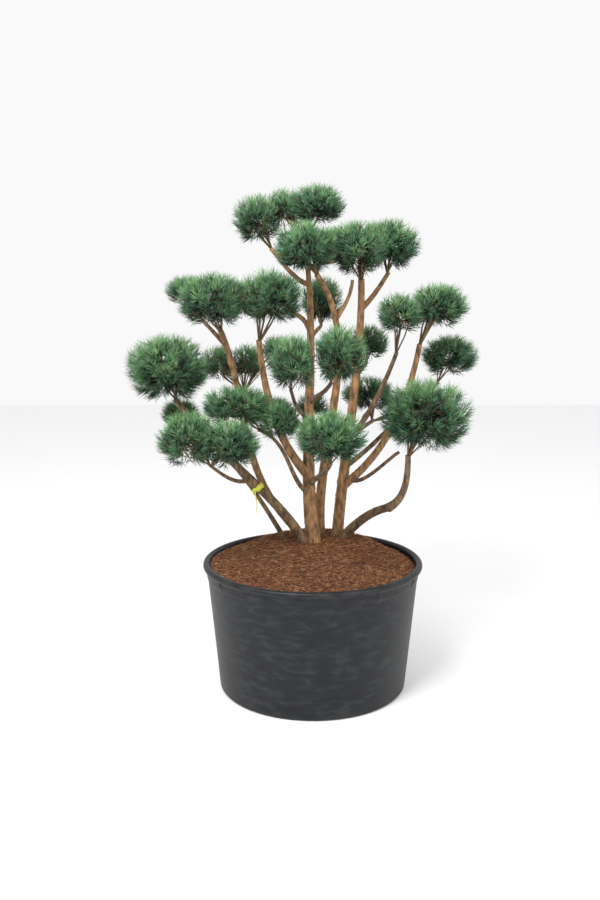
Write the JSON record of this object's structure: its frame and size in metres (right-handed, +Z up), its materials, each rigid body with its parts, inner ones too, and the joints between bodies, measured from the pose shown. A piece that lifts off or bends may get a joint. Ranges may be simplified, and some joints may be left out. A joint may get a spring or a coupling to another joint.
{
  "type": "cloud-pruned scots pine in a nursery pot",
  "caption": "Multi-stem Scots pine clipped into rounded foliage pads on bare boughs, standing in a round black nursery pot topped with coir mulch.",
  "frame": {"origin": "centre of the pot's flat underside", "axes": "+Z up, -Y towards the viewer of the picture, +X to the viewer's right"},
  "size_m": [1.3855, 0.9861, 1.946],
  "materials": {
    "pot": "black moulded plastic with a soft sheen and light scuffs",
    "mulch": "loose orange-brown coir fibre",
    "bark": "flaking bark, orange-tan above and grey-brown below",
    "needles": "blue-green needles, lighter at the upper tips",
    "tie": "yellow-green plastic ribbon"
  },
  "bodies": {
    "root": {"pot": "pot", "mulch": "mulch", "tie": "tie", "stem_front": "bark", "stem_back": "bark", "stem_right": "bark", "stem_left": "bark", "stem_left_thin": "bark", "stem_right_low": "bark", "bough_right_rise": "bark", "bough_center_low": "bark", "bough_left_back": "bark", "bough_left_front": "bark", "bough_mid_left": "bark", "bough_lower_left": "bark", "bough_right_main": "bark", "bough_right_small": "bark", "bough_right_inner": "bark", "bough_right_under": "bark", "bough_upper_right": "bark", "bough_upper_twin": "bark", "bough_top_left": "bark", "bough_center_right": "bark", "bough_center_left": "bark", "bough_back_top": "bark", "bough_rear_left": "bark", "bough_rear_high": "bark", "bough_back_left": "bark", "bough_back_right": "bark", "bough_back_right_low": "bark", "bough_back_low": "bark", "bough_upper_left_back": "bark", "mass_top_left": "needles", "mass_top": "needles", "mass_upper_front": "needles", "mass_upper_front_right": "needles", "mass_upper_right": "needles", "mass_left_upper_outer": "needles", "mass_left_upper_inner": "needles", "mass_left_upper_back": "needles", "mass_far_left": "needles", "mass_back_left": "needles", "mass_center_left": "needles", "mass_center_right": "needles", "mass_mid_left": "needles", "mass_lower_left": "needles", "mass_lower_left_back": "needles", "mass_center_low": "needles", "mass_right_upper_inner": "needles", "mass_right_upper_outer": "needles", "mass_right_small": "needles", "mass_right_low": "needles", "mass_back_top": "needles", "mass_back_right": "needles", "mass_back_right_low": "needles", "mass_back_low": "needles", "mass_rear_high": "needles", "mass_rear_left": "needles"}
  },
  "joints": []
}
